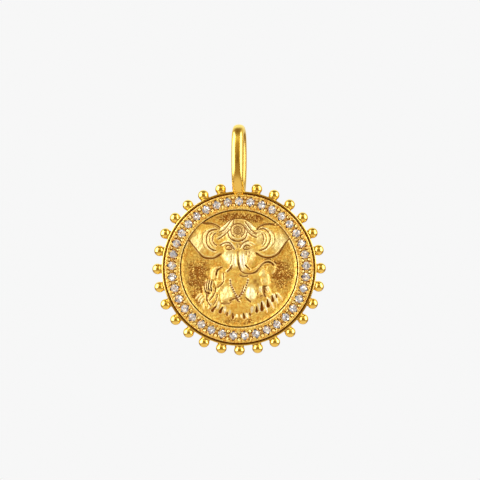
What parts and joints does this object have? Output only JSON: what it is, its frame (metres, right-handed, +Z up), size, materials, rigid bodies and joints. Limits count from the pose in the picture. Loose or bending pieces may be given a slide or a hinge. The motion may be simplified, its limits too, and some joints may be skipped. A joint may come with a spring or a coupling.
{
  "type": "ganesha medallion pendant",
  "caption": "Round gold medallion pendant with a raised seated Ganesha relief, a pave ring of brilliants, a beaded rim and a fixed oval bail.",
  "frame": {"origin": "inner top of the bail's loop, where the chain carries the pendant", "axes": "+Z up along the hanging pendant, +X to the viewer's right, the relief faces -Y"},
  "size_m": [0.022, 0.006, 0.0293],
  "materials": {
    "polished_gold": "polished",
    "satin_gold": "satin",
    "clear_stone": "polished"
  },
  "bodies": {
    "root": {"ring_setting": "polished_gold", "ganesha_relief": "satin_gold", "stone_01": "clear_stone", "stone_02": "clear_stone", "stone_03": "clear_stone", "stone_04": "clear_stone", "stone_05": "clear_stone", "stone_06": "clear_stone", "stone_07": "clear_stone", "stone_08": "clear_stone", "stone_09": "clear_stone", "stone_10": "clear_stone", "stone_11": "clear_stone", "stone_12": "clear_stone", "stone_13": "clear_stone", "stone_14": "clear_stone", "stone_15": "clear_stone", "stone_16": "clear_stone", "stone_17": "clear_stone", "stone_18": "clear_stone", "stone_19": "clear_stone", "stone_20": "clear_stone", "stone_21": "clear_stone", "stone_22": "clear_stone", "stone_23": "clear_stone", "stone_24": "clear_stone", "stone_25": "clear_stone", "stone_26": "clear_stone", "stone_27": "clear_stone", "stone_28": "clear_stone", "stone_29": "clear_stone", "stone_30": "clear_stone", "stone_31": "clear_stone", "stone_32": "clear_stone", "stone_33": "clear_stone", "stone_34": "clear_stone", "stone_35": "clear_stone", "stone_36": "clear_stone", "stone_37": "clear_stone"}
  },
  "joints": []
}
